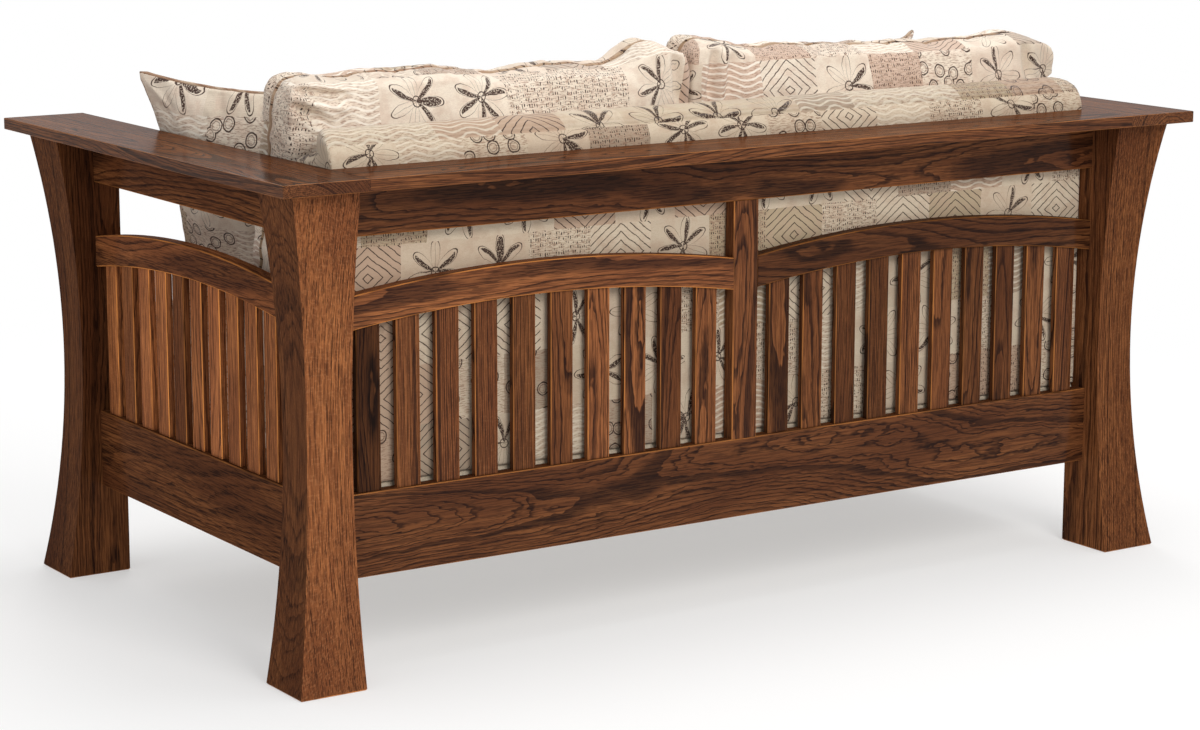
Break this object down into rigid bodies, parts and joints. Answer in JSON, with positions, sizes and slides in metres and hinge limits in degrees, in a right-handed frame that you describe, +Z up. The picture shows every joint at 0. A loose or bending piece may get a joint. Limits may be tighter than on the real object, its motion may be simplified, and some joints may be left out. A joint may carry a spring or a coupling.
{
  "type": "loveseat",
  "caption": "Even-arm loveseat with a slatted oak frame, hollow-swept posts, arched rails and flat cap boards, a roll-top upholstered back, and loose seat, back and throw cushions.",
  "frame": {"origin": "on the floor, under the middle of the outline of the caps", "axes": "+X towards the sitter's left hand, +Y to the back, +Z up; the front of the seat faces -Y"},
  "size_m": [1.74, 0.99, 0.8906],
  "materials": {
    "oak_post": "dark walnut stain, satin lacquer, quarter-sawn and flat-sawn red oak",
    "oak_cap": "dark walnut stain, semi-gloss lacquer, orange-brown edges",
    "oak_rail": "dark walnut stain, satin lacquer, bold flat-sawn figure",
    "oak_slat": "dark walnut stain, satin lacquer",
    "hidden_hardwood": "plain planed",
    "plywood": "plain",
    "steel_screw": "zinc",
    "webbing": "woven straps",
    "deck_cloth": "woven cloth over foam",
    "print_cloth_back": "woven cloth, printed blocks",
    "print_cloth_seat": "woven cloth, printed blocks",
    "print_cloth_cushion": "woven cloth, printed blocks",
    "print_cloth_pillow": "woven cloth, printed blocks"
  },
  "bodies": {
    "frame": {"arm_cap_left": "oak_cap", "arm_cap_right": "oak_cap", "back_arch_rail_left": "oak_rail", "back_arch_rail_right": "oak_rail", "back_bottom_rail": "oak_rail", "back_cap": "oak_cap", "back_panel_board": "plywood", "back_slat_left_01": "oak_slat", "back_slat_left_02": "oak_slat", "back_slat_left_03": "oak_slat", "back_slat_left_04": "oak_slat", "back_slat_left_05": "oak_slat", "back_slat_left_06": "oak_slat", "back_slat_left_07": "oak_slat", "back_slat_left_08": "oak_slat", "back_slat_left_09": "oak_slat", "back_slat_left_10": "oak_slat", "back_slat_right_01": "oak_slat", "back_slat_right_02": "oak_slat", "back_slat_right_03": "oak_slat", "back_slat_right_04": "oak_slat", "back_slat_right_05": "oak_slat", "back_slat_right_06": "oak_slat", "back_slat_right_07": "oak_slat", "back_slat_right_08": "oak_slat", "back_slat_right_09": "oak_slat", "back_slat_right_10": "oak_slat", "back_stile": "oak_rail", "back_top_rail": "oak_rail", "back_upholstery": "print_cloth_back", "cap_dowels": "hidden_hardwood", "cleat_screws": "steel_screw", "corner_blocks": "hidden_hardwood", "deck_cross_bars": "hidden_hardwood", "deck_front_bar": "hidden_hardwood", "deck_pad": "deck_cloth", "deck_rear_bar": "hidden_hardwood", "front_rail": "oak_rail", "post_front_left": "oak_post", "post_front_right": "oak_post", "post_rear_left": "oak_post", "post_rear_right": "oak_post", "rear_cleat": "hidden_hardwood", "seat_webbing": "webbing", "side_arch_rail_left": "oak_rail", "side_arch_rail_right": "oak_rail", "side_bottom_rail_left": "oak_rail", "side_bottom_rail_right": "oak_rail", "side_cleat_left": "hidden_hardwood", "side_cleat_right": "hidden_hardwood", "side_slats_left": "oak_slat", "side_slats_right": "oak_slat", "side_top_rail_left": "oak_rail", "side_top_rail_right": "oak_rail"},
    "back_cushion_left": {"back_cushion_left": "print_cloth_cushion"},
    "back_cushion_right": {"back_cushion_right": "print_cloth_cushion"},
    "seat_cushion_left": {"seat_cushion_left": "print_cloth_seat"},
    "seat_cushion_right": {"seat_cushion_right": "print_cloth_seat"},
    "throw_pillow_left": {"throw_pillow_left": "print_cloth_pillow"},
    "throw_pillow_right": {"throw_pillow_right": "print_cloth_pillow"}
  },
  "joints": [
    {"name": "seat_cushion_left_pull", "type": "slide", "parent": "frame", "child": "seat_cushion_left", "axis": [0, -0.9984, 0.0574], "range_m": [0, 0.2]},
    {"name": "back_cushion_left_lift", "type": "slide", "parent": "seat_cushion_left", "child": "back_cushion_left", "axis": [0, 0, 1], "range_m": [0, 0.3]},
    {"name": "throw_pillow_left_lift", "type": "slide", "parent": "back_cushion_left", "child": "throw_pillow_left", "axis": [-0.2506, -0.3509, 0.9023], "range_m": [0, 0.25]},
    {"name": "seat_cushion_right_pull", "type": "slide", "parent": "frame", "child": "seat_cushion_right", "axis": [0, -0.9984, 0.0574], "range_m": [0, 0.2]},
    {"name": "back_cushion_right_lift", "type": "slide", "parent": "seat_cushion_right", "child": "back_cushion_right", "axis": [0, 0, 1], "range_m": [0, 0.3]},
    {"name": "throw_pillow_right_lift", "type": "slide", "parent": "back_cushion_right", "child": "throw_pillow_right", "axis": [0.2506, -0.3509, 0.9023], "range_m": [0, 0.25]}
  ]
}
